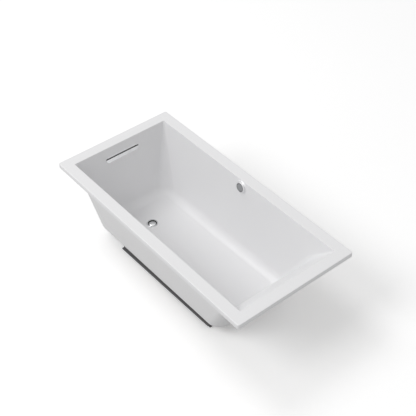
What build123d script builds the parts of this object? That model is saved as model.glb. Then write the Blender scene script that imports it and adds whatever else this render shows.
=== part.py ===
from build123d import *
from math import cos, radians, sin, tan
import os

# Drop-in bathtub: a drafted rectangular basin under a flat rim, on a low timber base,
# with a slotted overflow, a pop-up waste and a rotary control that works the plug.
# Millimetres. The origin is on the ground below the middle of the rim, +Z is up,
# +X points at the sloping backrest and -X at the drain end.

# Rim and shell
rim_length = 1676.4
rim_width = 812.8
rim_z = 533.4
rim_corner = 13.0
rim_edge = 4.0
lip_height = 29.0
shell_t = 5.0

# Basin opening at the rim, and the slope of its walls from the vertical, in degrees
deck_drain = 74.2
deck_back = 69.2
deck_side = 71.4
opening_edge = 2.0
side_draft = 8.0
drain_draft = 8.8
backrest_angle = 44.0
lower_back_angle = 22.5
crest_depth = 150.0
crest_r = 240.0
corner_r_rim = 4.0
corner_r_growth = 0.2
cove_r = 60.0
floor_slope = 0.8
floor_lift = 1.0

# Timber base
rail_height = 30.0
rail_width = 40.0
rail_inset = 10.781479
rail_overhang = 14.0
rail_back_inset = 80.219455
rail_back_overhang = 7.0
rail_edge = 2.0
board_t = 12.0
board_inset = 26.781479
board_clear = 8.0
bed_inset = 66.781479
cross_drain_inset = 136.0
cross_back_inset = 148.0
stiffener_width = 50.0
stiffener_t = 12.0
stiffener_side_gap = 5.0
side_strip_end_gap = 78.2
end_strip_end_gap = 26.4
screw_r = 2.5
screw_head_r = 5.0
screw_head_h = 3.0
screw_head_depth = 4.0
screw_length = 32.0
screw_gap = 0.1
screw_pitch = 240.0

# Waste
drain_inset = 284.0
drain_pad_r = 39.0
drain_pad_sink = 0.6
drain_hole_top_r = 31.0
drain_hole_r = 24.0
flange_r = 38.0
flange_h = 2.8
flange_edge = 1.2
flange_shoulder = 1.736
flange_roll = 0.8
flange_roll_drop = 0.2
flange_gap = 0.3
funnel_top_r = 28.5
funnel_r = 19.8
funnel_depth = 7.5
funnel_lip = 1.0
tail_r = 22.8
tail_length = 28.4
guide_depth = 15.9
guide_h = 9.0
guide_r = 7.0
spoke_count = 3
spoke_w = 3.6
spoke_h = 6.0
spoke_root = 2.0
gasket_t = 3.0
gasket_r = 34.0
shoe_flange_r = 36.0
shoe_flange_t = 4.0
shoe_r = 27.0
thread_gap = 0.3
shoe_height = 37.4
shoe_wall = 2.5
pipe_r = 16.0
pipe_t = 1.6
pipe_gap = 0.1
socket_t = 3.0
socket_depth = 25.0
socket_clear = 0.1
bore_r = 14.0
shoe_outlet_length = 65.0
riser_setback = 24.081291
tee_height = 53.7
tee_branch = 38.0
outlet_reach = 50.0
nut_flats = 46.0
nut_h = 14.0

# Plug and the lever that lifts it
stem_r = 4.0
running_gap = 0.06
seal_t = 2.0
seal_gap = 0.45
seal_sink = 4.8
cap_r = 22.3
cap_crown = 4.2
cap_rise = 3.024
cap_shoulder = 13.826
cap_edge = 0.9
cap_undercut = 0.4
collar_r = 8.0
collar_wall = 1.0
collar_h = 3.0
lever_length = 25.0
lever_depth = 35.4
roller_r = 3.0
lever_w = 5.0
lever_t = 4.0
lever_gap = 0.3
shaft_r = 3.0
shaft_out = 30.0
crank_length = 16.0
crank_t = 3.0
cable_r = 1.6
gland_r = 3.5
gland_length = 10.0

# Slotted overflow
slot_depth = 84.5
trim_length = 246.0
trim_height = 36.0
trim_proud = 2.5
trim_sunk = 3.0
trim_overlap = 4.0
trim_edge = 1.2
trim_lip_gap = 0.5
gap_length = 230.0
gap_height = 8.0
gap_top_margin = 2.2
stud_r = 2.5
stud_spacing = 190.0
box_border = 7.0
box_depth = 36.0
box_wall = 2.5
box_flange = 7.0
box_flange_t = 3.0
box_collar_length = 32.0
box_gasket_t = 2.0
stud_nut_flats = 8.0
stud_nut_h = 4.0

# Rotary control on the far wall
control_x = 2.0
control_depth = 45.0
control_hole_r = 17.0
control_barrel_r = 16.7
control_flange_r = 24.0
control_flange_t = 3.0
control_gasket_t = 2.0
housing_r = 20.0
housing_depth = 30.0
control_nut_r = 23.0
control_nut_h = 3.5
escutcheon_r = 41.0
escutcheon_h = 5.2
escutcheon_t = 1.2
escutcheon_foot = 1.5
escutcheon_play = 1.0
knob_r = 33.0
knob_gap = 0.6
knob_face = 14.0
knob_bevel = 1.6
ring_r = 27.5
ring_w = 4.0
ring_deep = 1.4
ring_recess = 0.5
cap_recess = 0.2
spindle_r = 5.0
control_crank_r = 18.0
control_crank_t = 4.0
crank_gap = 0.5

os.makedirs("parts", exist_ok=True)

# Heights that follow from the base under the shell
board_z = rail_height
floor_under_z = board_z + board_t
floor_z = floor_under_z + floor_lift + shell_t
basin_depth = rim_z - floor_z
slope = radians(floor_slope)
seat_z = floor_z - drain_pad_sink

# Places that follow: the opening inside the deck, the drain, and the foot of the walls
open_drain_x = -rim_length / 2 + deck_drain
open_back_x = rim_length / 2 - deck_back
open_half_y = rim_width / 2 - deck_side
drain_x = open_drain_x + drain_inset
foot_half_y = open_half_y - basin_depth * tan(radians(side_draft))
upper_reach = crest_depth * tan(radians(backrest_angle))
lower_reach = (basin_depth - crest_depth) * tan(radians(lower_back_angle))
foot_back_x = open_back_x - upper_reach - lower_reach
board_half_y = foot_half_y - board_inset
bed_half_y = foot_half_y - bed_inset
board_start_x = drain_x + shoe_flange_r + board_clear
rail_face_y = foot_half_y - rail_inset
rail_start_x = board_start_x - rail_overhang
rail_end_x = foot_back_x - rail_back_inset
board_end_x = rail_end_x - rail_back_overhang
cross_rail_xs = (board_start_x + cross_drain_inset, board_end_x - cross_back_inset)


# The basin: rounded rectangles stacked from the rim down. The corner radius grows with
# depth, and the backrest runs at one angle to a rounded lumbar crest, then steeper.
def back_profile(grow):
    upper = radians(backrest_angle)
    lower = radians(lower_back_angle)
    reach = crest_r * tan((upper - lower) / 2)
    centre_x = open_back_x - crest_depth * tan(upper) + reach * sin(upper) + crest_r * cos(upper)
    centre_depth = crest_depth - reach * cos(upper) + crest_r * sin(upper)
    points = [(open_back_x + grow / cos(upper), 0.0)]
    for step in range(5):
        angle = upper + (lower - upper) * step / 4
        points.append((centre_x - (crest_r - grow) * cos(angle), centre_depth - (crest_r - grow) * sin(angle)))
    last_x, last_depth = points[-1]
    points.append((last_x - (rim_z - last_depth) * tan(lower), rim_z))
    return points


def basin_section(back_x, depth, grow):
    half_y = open_half_y - depth * tan(radians(side_draft)) + grow / cos(radians(side_draft))
    drain_end = open_drain_x + depth * tan(radians(drain_draft)) - grow / cos(radians(drain_draft))
    with BuildSketch(Plane.XY.offset(rim_z - depth)) as section:
        with Locations(((back_x + drain_end) / 2, 0)):
            RectangleRounded(back_x - drain_end, 2 * half_y, corner_r_rim + corner_r_growth * depth + grow)
    return section.sketch


def basin_solid(grow):
    sections = [basin_section(x, depth, grow) for x, depth in back_profile(grow)]
    floor_plane = Plane(
        origin=(drain_x, 0, floor_z - grow),
        x_dir=(cos(slope), 0, sin(slope)),
        z_dir=(-sin(slope), 0, cos(slope)),
    )
    with BuildPart() as basin:
        loft(sections[:2], ruled=True)
        loft(sections[1:6])
        loft(sections[5:], ruled=True)
        split(bisect_by=floor_plane, keep=Keep.TOP)
        fillet(basin.faces().sort_by(Axis.Z)[0].edges(), cove_r + grow)
    return basin.part


def floor_under(x):
    return floor_z - shell_t + (x - drain_x) * tan(slope)


def funnel_radius(z):
    rise = funnel_depth + flange_h - funnel_lip
    return funnel_r + (funnel_top_r - funnel_r) * (z - seat_z + funnel_depth) / rise


# Local planes on the basin walls: local Z points into the basin, local Y up the wall
drain_wall = Plane(
    origin=(open_drain_x + slot_depth * tan(radians(drain_draft)), 0, rim_z - slot_depth),
    x_dir=(0, 1, 0),
    z_dir=(cos(radians(drain_draft)), 0, sin(radians(drain_draft))),
)
far_wall = Plane(
    origin=(control_x, open_half_y - control_depth * tan(radians(side_draft)), rim_z - control_depth),
    x_dir=(1, 0, 0),
    z_dir=(0, -cos(radians(side_draft)), sin(radians(side_draft))),
)
drain_axis = Plane(origin=(drain_x, 0, 0))
drain_spin = Axis((drain_x, 0, 0), (0, 0, 1))

basin_outside = basin_solid(shell_t)
basin_inside = basin_solid(0.0)

# Bath shell: rim deck with a turned-down lip, the basin, and its three holes
with BuildPart() as bath_shell:
    with BuildSketch(Plane.XY.offset(rim_z)):
        RectangleRounded(rim_length, rim_width, rim_corner)
    extrude(amount=-lip_height)
    fillet(bath_shell.edges().group_by(Axis.Z)[-1], rim_edge)
    with BuildSketch(Plane.XY.offset(rim_z - lip_height)):
        RectangleRounded(rim_length - 2 * shell_t, rim_width - 2 * shell_t, rim_corner - shell_t)
    extrude(amount=lip_height - shell_t, mode=Mode.SUBTRACT)
    add(basin_outside)
    with BuildSketch(drain_axis.offset(seat_z - shell_t)):
        Circle(drain_pad_r)
    extrude(amount=shell_t)
    add(basin_inside, mode=Mode.SUBTRACT)
    fillet(bath_shell.faces().sort_by(Axis.Z)[-1].inner_wires()[0].edges(), opening_edge)
    with BuildSketch(drain_axis.offset(seat_z)):
        Circle(drain_pad_r)
    extrude(amount=shell_t, mode=Mode.SUBTRACT)
    with BuildSketch(Plane.XZ):
        with BuildLine():
            Polyline(
                (drain_x, seat_z - 2 * shell_t),
                (drain_x + drain_hole_r, seat_z - 2 * shell_t),
                (drain_x + drain_hole_r, seat_z - shell_t),
                (drain_x + drain_hole_top_r, seat_z),
                (drain_x + drain_hole_top_r, seat_z + shell_t),
                (drain_x, seat_z + shell_t),
                close=True,
            )
        make_face()
    revolve(axis=drain_spin, mode=Mode.SUBTRACT)
    with BuildSketch(drain_wall):
        SlotOverall(trim_length - 2 * trim_overlap, trim_height - 2 * trim_overlap)
    extrude(amount=2 * shell_t, both=True, mode=Mode.SUBTRACT)
    with BuildSketch(far_wall):
        Circle(control_hole_r)
    extrude(amount=2 * shell_t, both=True, mode=Mode.SUBTRACT)
bath_shell.part.label = "bath_shell"
export_step(bath_shell.part, "parts/bath_shell.step")

# Rim stiffeners: four strips bonded under the deck, between the lip and the basin
stiffener_plane = Plane.XY.offset(rim_z - shell_t - stiffener_t)
side_strip_y = rim_width / 2 - shell_t - stiffener_side_gap - stiffener_width / 2
drain_strip_x = rim_length / 2 - shell_t - stiffener_side_gap - stiffener_width / 2
stiffener_half_x = drain_strip_x - stiffener_width / 2 - side_strip_end_gap
stiffener_half_y = side_strip_y - stiffener_width / 2 - end_strip_end_gap
with BuildPart() as rim_stiffener_far:
    with BuildSketch(stiffener_plane):
        with Locations((0, side_strip_y)):
            Rectangle(2 * stiffener_half_x, stiffener_width)
    extrude(amount=stiffener_t)
rim_stiffener_far.part.label = "rim_stiffener_far"
export_step(rim_stiffener_far.part, "parts/rim_stiffener_far.step")

with BuildPart() as rim_stiffener_near:
    add(mirror(rim_stiffener_far.part, about=Plane.XZ))
rim_stiffener_near.part.label = "rim_stiffener_near"
export_step(rim_stiffener_near.part, "parts/rim_stiffener_near.step")

with BuildPart() as rim_stiffener_drain:
    with BuildSketch(stiffener_plane):
        with Locations((-drain_strip_x, 0)):
            Rectangle(stiffener_width, 2 * stiffener_half_y)
    extrude(amount=stiffener_t)
rim_stiffener_drain.part.label = "rim_stiffener_drain"
export_step(rim_stiffener_drain.part, "parts/rim_stiffener_drain.step")

with BuildPart() as rim_stiffener_back:
    add(mirror(rim_stiffener_drain.part, about=Plane.YZ))
rim_stiffener_back.part.label = "rim_stiffener_back"
export_step(rim_stiffener_back.part, "parts/rim_stiffener_back.step")

# Floor bed: the wedge of filler that takes up the fall of the floor
with BuildPart() as floor_bed:
    with BuildSketch(Plane.XZ):
        with BuildLine():
            Polyline(
                (board_start_x, floor_under_z),
                (board_end_x, floor_under_z),
                (board_end_x, floor_under(board_end_x)),
                (board_start_x, floor_under(board_start_x)),
                close=True,
            )
        make_face()
    extrude(amount=bed_half_y, both=True)
floor_bed.part.label = "floor_bed"
export_step(floor_bed.part, "parts/floor_bed.step")

# Screw places: a row along each rail
rail_mid_x = (rail_start_x + rail_end_x) / 2
rail_mid_y = rail_face_y - rail_width / 2
screws_per_rail = int((rail_end_x - rail_start_x) // screw_pitch) + 1
screw_reach = screw_pitch * (screws_per_rail - 1) / 2
screw_spots = [
    (rail_mid_x - screw_reach + screw_pitch * place, side * (board_half_y - rail_width / 3))
    for side in (-1, 1)
    for place in range(screws_per_rail)
]

# Base board under the bed
with BuildPart() as base_board:
    with BuildSketch(Plane.XY.offset(board_z)):
        with Locations(((board_start_x + board_end_x) / 2, 0)):
            Rectangle(board_end_x - board_start_x, 2 * board_half_y)
    extrude(amount=board_t)
    with BuildSketch(Plane.XY.offset(board_z)):
        with Locations(screw_spots):
            Circle(screw_r + screw_gap)
    extrude(amount=screw_head_depth + screw_length - rail_height + screw_gap, mode=Mode.SUBTRACT)
base_board.part.label = "base_board"
export_step(base_board.part, "parts/base_board.step")

# Base rails: the dark bars the bath stands on, countersunk from below
with BuildPart() as base_rail_far:
    with BuildSketch(Plane.XY):
        with Locations((rail_mid_x, rail_mid_y)):
            Rectangle(rail_end_x - rail_start_x, rail_width)
    extrude(amount=rail_height)
    fillet(base_rail_far.edges().filter_by(Axis.X), rail_edge)
    with BuildSketch(Plane.XY):
        with Locations([spot for spot in screw_spots if spot[1] > 0]):
            Circle(screw_head_r + screw_gap)
    extrude(amount=screw_head_depth + screw_head_h, mode=Mode.SUBTRACT)
    with BuildSketch(Plane.XY):
        with Locations([spot for spot in screw_spots if spot[1] > 0]):
            Circle(screw_r + screw_gap)
    extrude(amount=rail_height, mode=Mode.SUBTRACT)
base_rail_far.part.label = "base_rail_far"
export_step(base_rail_far.part, "parts/base_rail_far.step")

with BuildPart() as base_rail_near:
    add(mirror(base_rail_far.part, about=Plane.XZ))
base_rail_near.part.label = "base_rail_near"
export_step(base_rail_near.part, "parts/base_rail_near.step")

with BuildPart() as cross_rails:
    with BuildSketch(Plane.XY):
        with Locations([(x, 0) for x in cross_rail_xs]):
            Rectangle(rail_width, 2 * (rail_face_y - rail_width))
    extrude(amount=rail_height)
    fillet(cross_rails.edges().filter_by(Axis.Y), rail_edge)
cross_rails.part.label = "cross_rails"
export_step(cross_rails.part, "parts/cross_rails.step")

# Rail screws: pan heads sunk in the rails, shanks up into the board
with BuildPart() as rail_screws:
    with BuildSketch(Plane.XY.offset(screw_head_depth)):
        with Locations(screw_spots):
            Circle(screw_head_r)
    extrude(amount=screw_head_h)
    with BuildSketch(Plane.XY.offset(screw_head_depth)):
        with Locations(screw_spots):
            Circle(screw_r)
    extrude(amount=screw_length)
rail_screws.part.label = "rail_screws"
export_step(rail_screws.part, "parts/rail_screws.step")

# Drain flange: chrome rim and funnel, threaded tail, and a spoked guide for the plug's stem
tail_bottom = seat_z - tail_length
guide_z = seat_z - guide_depth
with BuildPart() as drain_flange:
    with BuildSketch(Plane.XZ):
        with BuildLine():
            rim_curve = ThreePointArc(
                (drain_x + flange_r, seat_z),
                (drain_x + flange_r - flange_edge, seat_z + flange_shoulder),
                (drain_x + (flange_r + funnel_top_r) / 2, seat_z + flange_h),
            )
            Line(rim_curve @ 1, (drain_x + funnel_top_r + flange_roll, seat_z + flange_h - flange_roll_drop))
            Polyline(
                (drain_x + funnel_top_r + flange_roll, seat_z + flange_h - flange_roll_drop),
                (drain_x + funnel_top_r, seat_z + flange_h - funnel_lip),
                (drain_x + funnel_r, seat_z - funnel_depth),
                (drain_x + funnel_r, tail_bottom),
                (drain_x + tail_r, tail_bottom),
                (drain_x + tail_r, seat_z - shell_t - gasket_t),
                (drain_x + drain_hole_r - flange_gap, seat_z - shell_t),
                (drain_x + drain_hole_top_r - flange_gap, seat_z),
                rim_curve @ 0,
            )
        make_face()
    revolve(axis=drain_spin)
    with BuildSketch(drain_axis.offset(guide_z - guide_h / 2)):
        Circle(guide_r)
    extrude(amount=guide_h)
    with BuildSketch(drain_axis.offset(guide_z - spoke_h / 2)):
        with PolarLocations((funnel_r + guide_r) / 2, spoke_count, start_angle=30):
            Rectangle(funnel_r - guide_r + spoke_root, spoke_w)
    extrude(amount=spoke_h)
    with BuildSketch(drain_axis.offset(guide_z - guide_h)):
        Circle(stem_r + running_gap)
    extrude(amount=2 * guide_h, mode=Mode.SUBTRACT)
drain_flange.part.label = "drain_flange"
export_step(drain_flange.part, "parts/drain_flange.step")

# Drain gasket, clamped between the shell and the shoe
with BuildPart() as drain_gasket:
    with BuildSketch(drain_axis.offset(seat_z - shell_t - gasket_t)):
        Circle(gasket_r)
        Circle(drain_hole_r, mode=Mode.SUBTRACT)
    extrude(amount=gasket_t)
drain_gasket.part.label = "drain_gasket"
export_step(drain_gasket.part, "parts/drain_gasket.step")

# Drain shoe: a low cup on the flange's tail, with a level outlet that holds the lever's shaft
shoe_top = seat_z - shell_t - gasket_t
shoe_bottom = shoe_top - shoe_height
socket_r = pipe_r + socket_t
waste_z = shoe_top - socket_r - socket_clear
lever_z = seat_z - lever_depth
shoe_mouth_x = drain_x - shoe_outlet_length
lever_x = drain_x - lever_length
outlet_axis = Plane(origin=(0, 0, waste_z), x_dir=(0, 1, 0), z_dir=(1, 0, 0))
boss_end_y = shaft_out - crank_t - crank_gap
cable_y = shaft_out - crank_t / 2
with BuildPart() as drain_shoe:
    with BuildSketch(drain_axis.offset(shoe_bottom)):
        Circle(shoe_r)
    extrude(amount=shoe_top - shoe_bottom)
    with BuildSketch(drain_axis.offset(shoe_top - shoe_flange_t)):
        Circle(shoe_flange_r)
    extrude(amount=shoe_flange_t)
    with BuildSketch(outlet_axis.offset(shoe_mouth_x)):
        Circle(socket_r)
    extrude(amount=shoe_outlet_length)
    with BuildSketch(Plane.XZ.offset(-boss_end_y)):
        with Locations((lever_x, lever_z)):
            Circle(2 * shaft_r)
    extrude(amount=boss_end_y)
    with BuildSketch(outlet_axis.offset(shoe_mouth_x)):
        with Locations(((cable_y + gland_r) / 2, lever_z + crank_length - waste_z)):
            Rectangle(cable_y + gland_r, 2 * gland_r)
    extrude(amount=gland_length)
    with BuildSketch(drain_axis.offset(shoe_bottom + shoe_wall)):
        Circle(tail_r + thread_gap)
    extrude(amount=shoe_top, mode=Mode.SUBTRACT)
    with BuildSketch(outlet_axis.offset(shoe_mouth_x)):
        Circle(bore_r)
    extrude(amount=shoe_outlet_length, mode=Mode.SUBTRACT)
    with BuildSketch(outlet_axis.offset(shoe_mouth_x)):
        Circle(pipe_r + pipe_gap)
    extrude(amount=socket_depth, mode=Mode.SUBTRACT)
    with BuildSketch(Plane.XZ.offset(-shaft_out)):
        with Locations((lever_x, lever_z)):
            Circle(shaft_r + running_gap)
    extrude(amount=shaft_out, mode=Mode.SUBTRACT)
    with BuildSketch(outlet_axis.offset(shoe_mouth_x)):
        with Locations((cable_y, lever_z + crank_length - waste_z)):
            Circle(cable_r)
    extrude(amount=gland_length, mode=Mode.SUBTRACT)
drain_shoe.part.label = "drain_shoe"
export_step(drain_shoe.part, "parts/drain_shoe.step")

# Waste pipe from the shoe to the tee
riser_x = drain_wall.origin.X - riser_setback
tee_mouth_x = riser_x + tee_branch
with BuildPart() as waste_pipe:
    with BuildSketch(outlet_axis.offset(tee_mouth_x - socket_depth)):
        Circle(pipe_r)
        Circle(pipe_r - pipe_t, mode=Mode.SUBTRACT)
    extrude(amount=shoe_mouth_x - tee_mouth_x + 2 * socket_depth)
waste_pipe.part.label = "waste_pipe"
export_step(waste_pipe.part, "parts/waste_pipe.step")

# Waste tee at the drain end: riser socket above, waste pipe socket inwards, outlet outwards
tee_top = waste_z + tee_height
outlet_mouth_x = riser_x - outlet_reach
with BuildPart() as waste_tee:
    with BuildSketch(Plane(origin=(riser_x, 0, waste_z - socket_r))):
        Circle(socket_r)
    extrude(amount=tee_top - waste_z + socket_r)
    with BuildSketch(outlet_axis.offset(outlet_mouth_x)):
        Circle(socket_r)
    extrude(amount=tee_mouth_x - outlet_mouth_x)
    with BuildSketch(Plane(origin=(riser_x, 0, waste_z))):
        Circle(bore_r)
    extrude(amount=tee_top - waste_z, mode=Mode.SUBTRACT)
    with BuildSketch(Plane(origin=(riser_x, 0, tee_top - socket_depth))):
        Circle(pipe_r + pipe_gap)
    extrude(amount=socket_depth, mode=Mode.SUBTRACT)
    with BuildSketch(outlet_axis.offset(outlet_mouth_x)):
        Circle(bore_r)
    extrude(amount=tee_mouth_x - outlet_mouth_x, mode=Mode.SUBTRACT)
    with BuildSketch(outlet_axis.offset(outlet_mouth_x), outlet_axis.offset(tee_mouth_x - socket_depth)):
        Circle(pipe_r + pipe_gap)
    extrude(amount=socket_depth, mode=Mode.SUBTRACT)
waste_tee.part.label = "waste_tee"
export_step(waste_tee.part, "parts/waste_tee.step")

# Overflow box: an open tray behind the slot, with a collar down to the riser
box_length = trim_length + 2 * box_border
box_height = trim_height + 2 * box_border
box_front = -shell_t - box_gasket_t
box_back = box_front - box_flange_t - box_depth
slot_plane_bottom = (drain_wall.location * Location((0, -box_height / 2, 0))).position.Z
collar_bottom = slot_plane_bottom - box_collar_length
collar_gap_r = pipe_r + pipe_gap
with BuildPart() as overflow_box:
    with BuildSketch(drain_wall.offset(box_front - box_flange_t)):
        SlotOverall(box_length + 2 * box_flange, box_height + 2 * box_flange)
    extrude(amount=box_flange_t)
    with BuildSketch(drain_wall.offset(box_back)):
        SlotOverall(box_length, box_height)
    extrude(amount=box_depth)
    with BuildSketch(Plane(origin=(riser_x, 0, collar_bottom))):
        Circle(socket_r)
    extrude(amount=box_collar_length + box_height / 3)
    with BuildSketch(drain_wall.offset(box_back + box_wall)):
        SlotOverall(box_length - 2 * box_wall, box_height - 2 * box_wall)
    extrude(amount=box_depth + box_flange_t, mode=Mode.SUBTRACT)
    with BuildSketch(Plane(origin=(riser_x, 0, collar_bottom))):
        Circle(collar_gap_r)
    extrude(amount=socket_depth, mode=Mode.SUBTRACT)
    with BuildSketch(Plane(origin=(riser_x, 0, collar_bottom))):
        Circle(bore_r)
    extrude(amount=box_collar_length + box_height / 3, mode=Mode.SUBTRACT)
    with BuildSketch(drain_wall.offset(box_back)):
        with GridLocations(stud_spacing, 0, 2, 1):
            Circle(stud_r + screw_gap)
    extrude(amount=box_wall, mode=Mode.SUBTRACT)
overflow_box.part.label = "overflow_box"
export_step(overflow_box.part, "parts/overflow_box.step")

with BuildPart() as overflow_gasket:
    with BuildSketch(drain_wall.offset(box_front)):
        SlotOverall(box_length + 2 * box_flange, box_height + 2 * box_flange)
        SlotOverall(trim_length, trim_height, mode=Mode.SUBTRACT)
    extrude(amount=box_gasket_t)
overflow_gasket.part.label = "overflow_gasket"
export_step(overflow_gasket.part, "parts/overflow_gasket.step")

# Riser pipe from the overflow box to the tee, and its two slip nuts
with BuildPart() as overflow_pipe:
    with BuildSketch(Plane(origin=(riser_x, 0, tee_top - socket_depth))):
        Circle(pipe_r)
        Circle(pipe_r - pipe_t, mode=Mode.SUBTRACT)
    extrude(amount=collar_bottom - tee_top + 2 * socket_depth)
overflow_pipe.part.label = "overflow_pipe"
export_step(overflow_pipe.part, "parts/overflow_pipe.step")

with BuildPart() as riser_nuts:
    for nut_bottom in (tee_top, collar_bottom - nut_h):
        with BuildSketch(Plane(origin=(riser_x, 0, nut_bottom))):
            RegularPolygon(nut_flats / 2, 8, major_radius=False)
            Circle(pipe_r + thread_gap, mode=Mode.SUBTRACT)
        extrude(amount=nut_h)
riser_nuts.part.label = "riser_nuts"
export_step(riser_nuts.part, "parts/riser_nuts.step")

# Overflow trim: a chrome bar plate with the slot along its top, held by two studs
trim_gap_y = trim_height / 2 - gap_top_margin - gap_height / 2
with BuildPart() as overflow_trim:
    with BuildSketch(drain_wall):
        SlotOverall(trim_length, trim_height)
    extrude(amount=trim_proud)
    fillet(overflow_trim.edges().group_by(Axis(drain_wall.origin, drain_wall.z_dir))[-1], trim_edge)
    with BuildSketch(drain_wall):
        SlotOverall(
            trim_length - 2 * trim_overlap - 2 * trim_lip_gap,
            trim_height - 2 * trim_overlap - 2 * trim_lip_gap,
        )
    extrude(amount=-trim_sunk)
    with BuildSketch(drain_wall.offset(box_back - 2 * stud_nut_h)):
        with GridLocations(stud_spacing, 0, 2, 1):
            Circle(stud_r)
    extrude(amount=-box_back + 2 * stud_nut_h)
    with BuildSketch(drain_wall.offset(-trim_sunk)):
        with Locations((0, trim_gap_y)):
            SlotOverall(gap_length, gap_height)
    extrude(amount=trim_sunk + trim_proud, mode=Mode.SUBTRACT)
overflow_trim.part.label = "overflow_trim"
export_step(overflow_trim.part, "parts/overflow_trim.step")

with BuildPart() as overflow_nuts:
    with BuildSketch(drain_wall.offset(box_back - stud_nut_h)):
        with GridLocations(stud_spacing, 0, 2, 1):
            RegularPolygon(stud_nut_flats / 2, 6, major_radius=False)
            Circle(stud_r + screw_gap, mode=Mode.SUBTRACT)
    extrude(amount=stud_nut_h)
overflow_nuts.part.label = "overflow_nuts"
export_step(overflow_nuts.part, "parts/overflow_nuts.step")

# Rotary control, fixed parts: body behind the wall, gasket, nut and escutcheon
body_front = -shell_t - control_gasket_t
body_back = body_front - control_flange_t - housing_depth
with BuildPart() as control_body:
    with BuildSketch(far_wall.offset(body_front - control_flange_t)):
        Circle(control_flange_r)
    extrude(amount=control_flange_t)
    with BuildSketch(far_wall.offset(body_back)):
        Circle(housing_r)
    extrude(amount=housing_depth)
    with BuildSketch(far_wall.offset(body_front)):
        Circle(control_barrel_r)
    extrude(amount=control_nut_h - body_front)
    with BuildSketch(far_wall.offset(body_back)):
        with Locations((-housing_r, -control_crank_r / 2)):
            Rectangle(4 * cable_r, 8 * cable_r)
    extrude(amount=8 * cable_r)
    with BuildSketch(far_wall.offset(body_back)):
        Circle(spindle_r + running_gap)
    extrude(amount=control_nut_h - body_back, mode=Mode.SUBTRACT)
control_body.part.label = "control_body"
export_step(control_body.part, "parts/control_body.step")

with BuildPart() as control_gasket:
    with BuildSketch(far_wall.offset(body_front)):
        Circle(control_flange_r)
        Circle(control_hole_r, mode=Mode.SUBTRACT)
    extrude(amount=control_gasket_t)
control_gasket.part.label = "control_gasket"
export_step(control_gasket.part, "parts/control_gasket.step")

with BuildPart() as control_nut:
    with BuildSketch(far_wall):
        RegularPolygon(control_nut_r, 8, major_radius=True)
        Circle(control_barrel_r + screw_gap, mode=Mode.SUBTRACT)
    extrude(amount=control_nut_h)
control_nut.part.label = "control_nut"
export_step(control_nut.part, "parts/control_nut.step")

# Escutcheon: a shallow dished cover over the nut
knob_axis = Axis(far_wall.origin, far_wall.z_dir)
with BuildPart() as control_escutcheon:
    with BuildSketch(far_wall):
        Circle(escutcheon_r)
    extrude(amount=escutcheon_h)
    fillet(control_escutcheon.edges().group_by(knob_axis)[-1], escutcheon_h - escutcheon_foot)
    with BuildSketch(far_wall):
        Circle(control_nut_r + escutcheon_play)
    extrude(amount=escutcheon_h - escutcheon_t, mode=Mode.SUBTRACT)
    with BuildSketch(far_wall):
        Circle(spindle_r + escutcheon_play)
    extrude(amount=escutcheon_h, mode=Mode.SUBTRACT)
control_escutcheon.part.label = "control_escutcheon"
export_step(control_escutcheon.part, "parts/control_escutcheon.step")

# Rotary control, turning parts: knob, its dark ring, its centre cap, spindle and crank
knob_back = escutcheon_h + knob_gap
with BuildPart() as control_knob:
    with BuildSketch(far_wall.offset(knob_back)):
        Circle(knob_r)
    extrude(amount=knob_face - knob_back)
    fillet(control_knob.edges().group_by(knob_axis)[-1], knob_bevel)
    fillet(control_knob.edges().group_by(knob_axis)[0], knob_bevel)
    with BuildSketch(far_wall.offset(knob_face)):
        Circle(ring_r)
    extrude(amount=-ring_deep, mode=Mode.SUBTRACT)
    with BuildSketch(far_wall.offset(knob_back)):
        Circle(spindle_r + running_gap)
    extrude(amount=(knob_face - knob_back) / 2, mode=Mode.SUBTRACT)
control_knob.part.label = "control_knob"
export_step(control_knob.part, "parts/control_knob.step")

with BuildPart() as control_ring:
    with BuildSketch(far_wall.offset(knob_face - ring_deep)):
        Circle(ring_r)
        Circle(ring_r - ring_w, mode=Mode.SUBTRACT)
    extrude(amount=ring_deep - ring_recess)
control_ring.part.label = "control_ring"
export_step(control_ring.part, "parts/control_ring.step")

with BuildPart() as control_cap:
    with BuildSketch(far_wall.offset(knob_face - ring_deep)):
        Circle(ring_r - ring_w)
    extrude(amount=ring_deep - cap_recess)
control_cap.part.label = "control_cap"
export_step(control_cap.part, "parts/control_cap.step")

crank_front = body_back - crank_gap
with BuildPart() as control_spindle:
    with BuildSketch(far_wall.offset(crank_front - control_crank_t)):
        Circle(spindle_r)
    extrude(amount=control_crank_t - crank_front + (knob_face + knob_back) / 2)
control_spindle.part.label = "control_spindle"
export_step(control_spindle.part, "parts/control_spindle.step")

with BuildPart() as control_crank:
    with BuildSketch(far_wall.offset(crank_front - control_crank_t)):
        with Locations((0, -control_crank_r / 2)):
            SlotCenterToCenter(control_crank_r, 3 * spindle_r, rotation=90)
        Circle(spindle_r + running_gap, mode=Mode.SUBTRACT)
        with Locations((0, -control_crank_r)):
            Circle(cable_r, mode=Mode.SUBTRACT)
    extrude(amount=control_crank_t)
control_crank.part.label = "control_crank"
export_step(control_crank.part, "parts/control_crank.step")

# Plug, drawn shut: domed cap, seal on the funnel, and stem down to the lever
seal_z = seat_z - seal_sink
collar_bore_r = collar_r - collar_wall
stem_foot = lever_z + roller_r + lever_gap
with BuildPart() as plug_cap:
    with BuildSketch(Plane.XZ):
        with BuildLine():
            dome = ThreePointArc(
                (drain_x, seal_z + seal_t + cap_crown),
                (drain_x + cap_shoulder, seal_z + seal_t + cap_rise),
                (drain_x + cap_r, seal_z + seal_t + cap_edge),
            )
            Polyline(
                dome @ 1,
                (drain_x + cap_r - cap_undercut, seal_z + seal_t),
                (drain_x, seal_z + seal_t),
                dome @ 0,
            )
        make_face()
    revolve(axis=drain_spin)
plug_cap.part.label = "plug_cap"
export_step(plug_cap.part, "parts/plug_cap.step")

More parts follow.
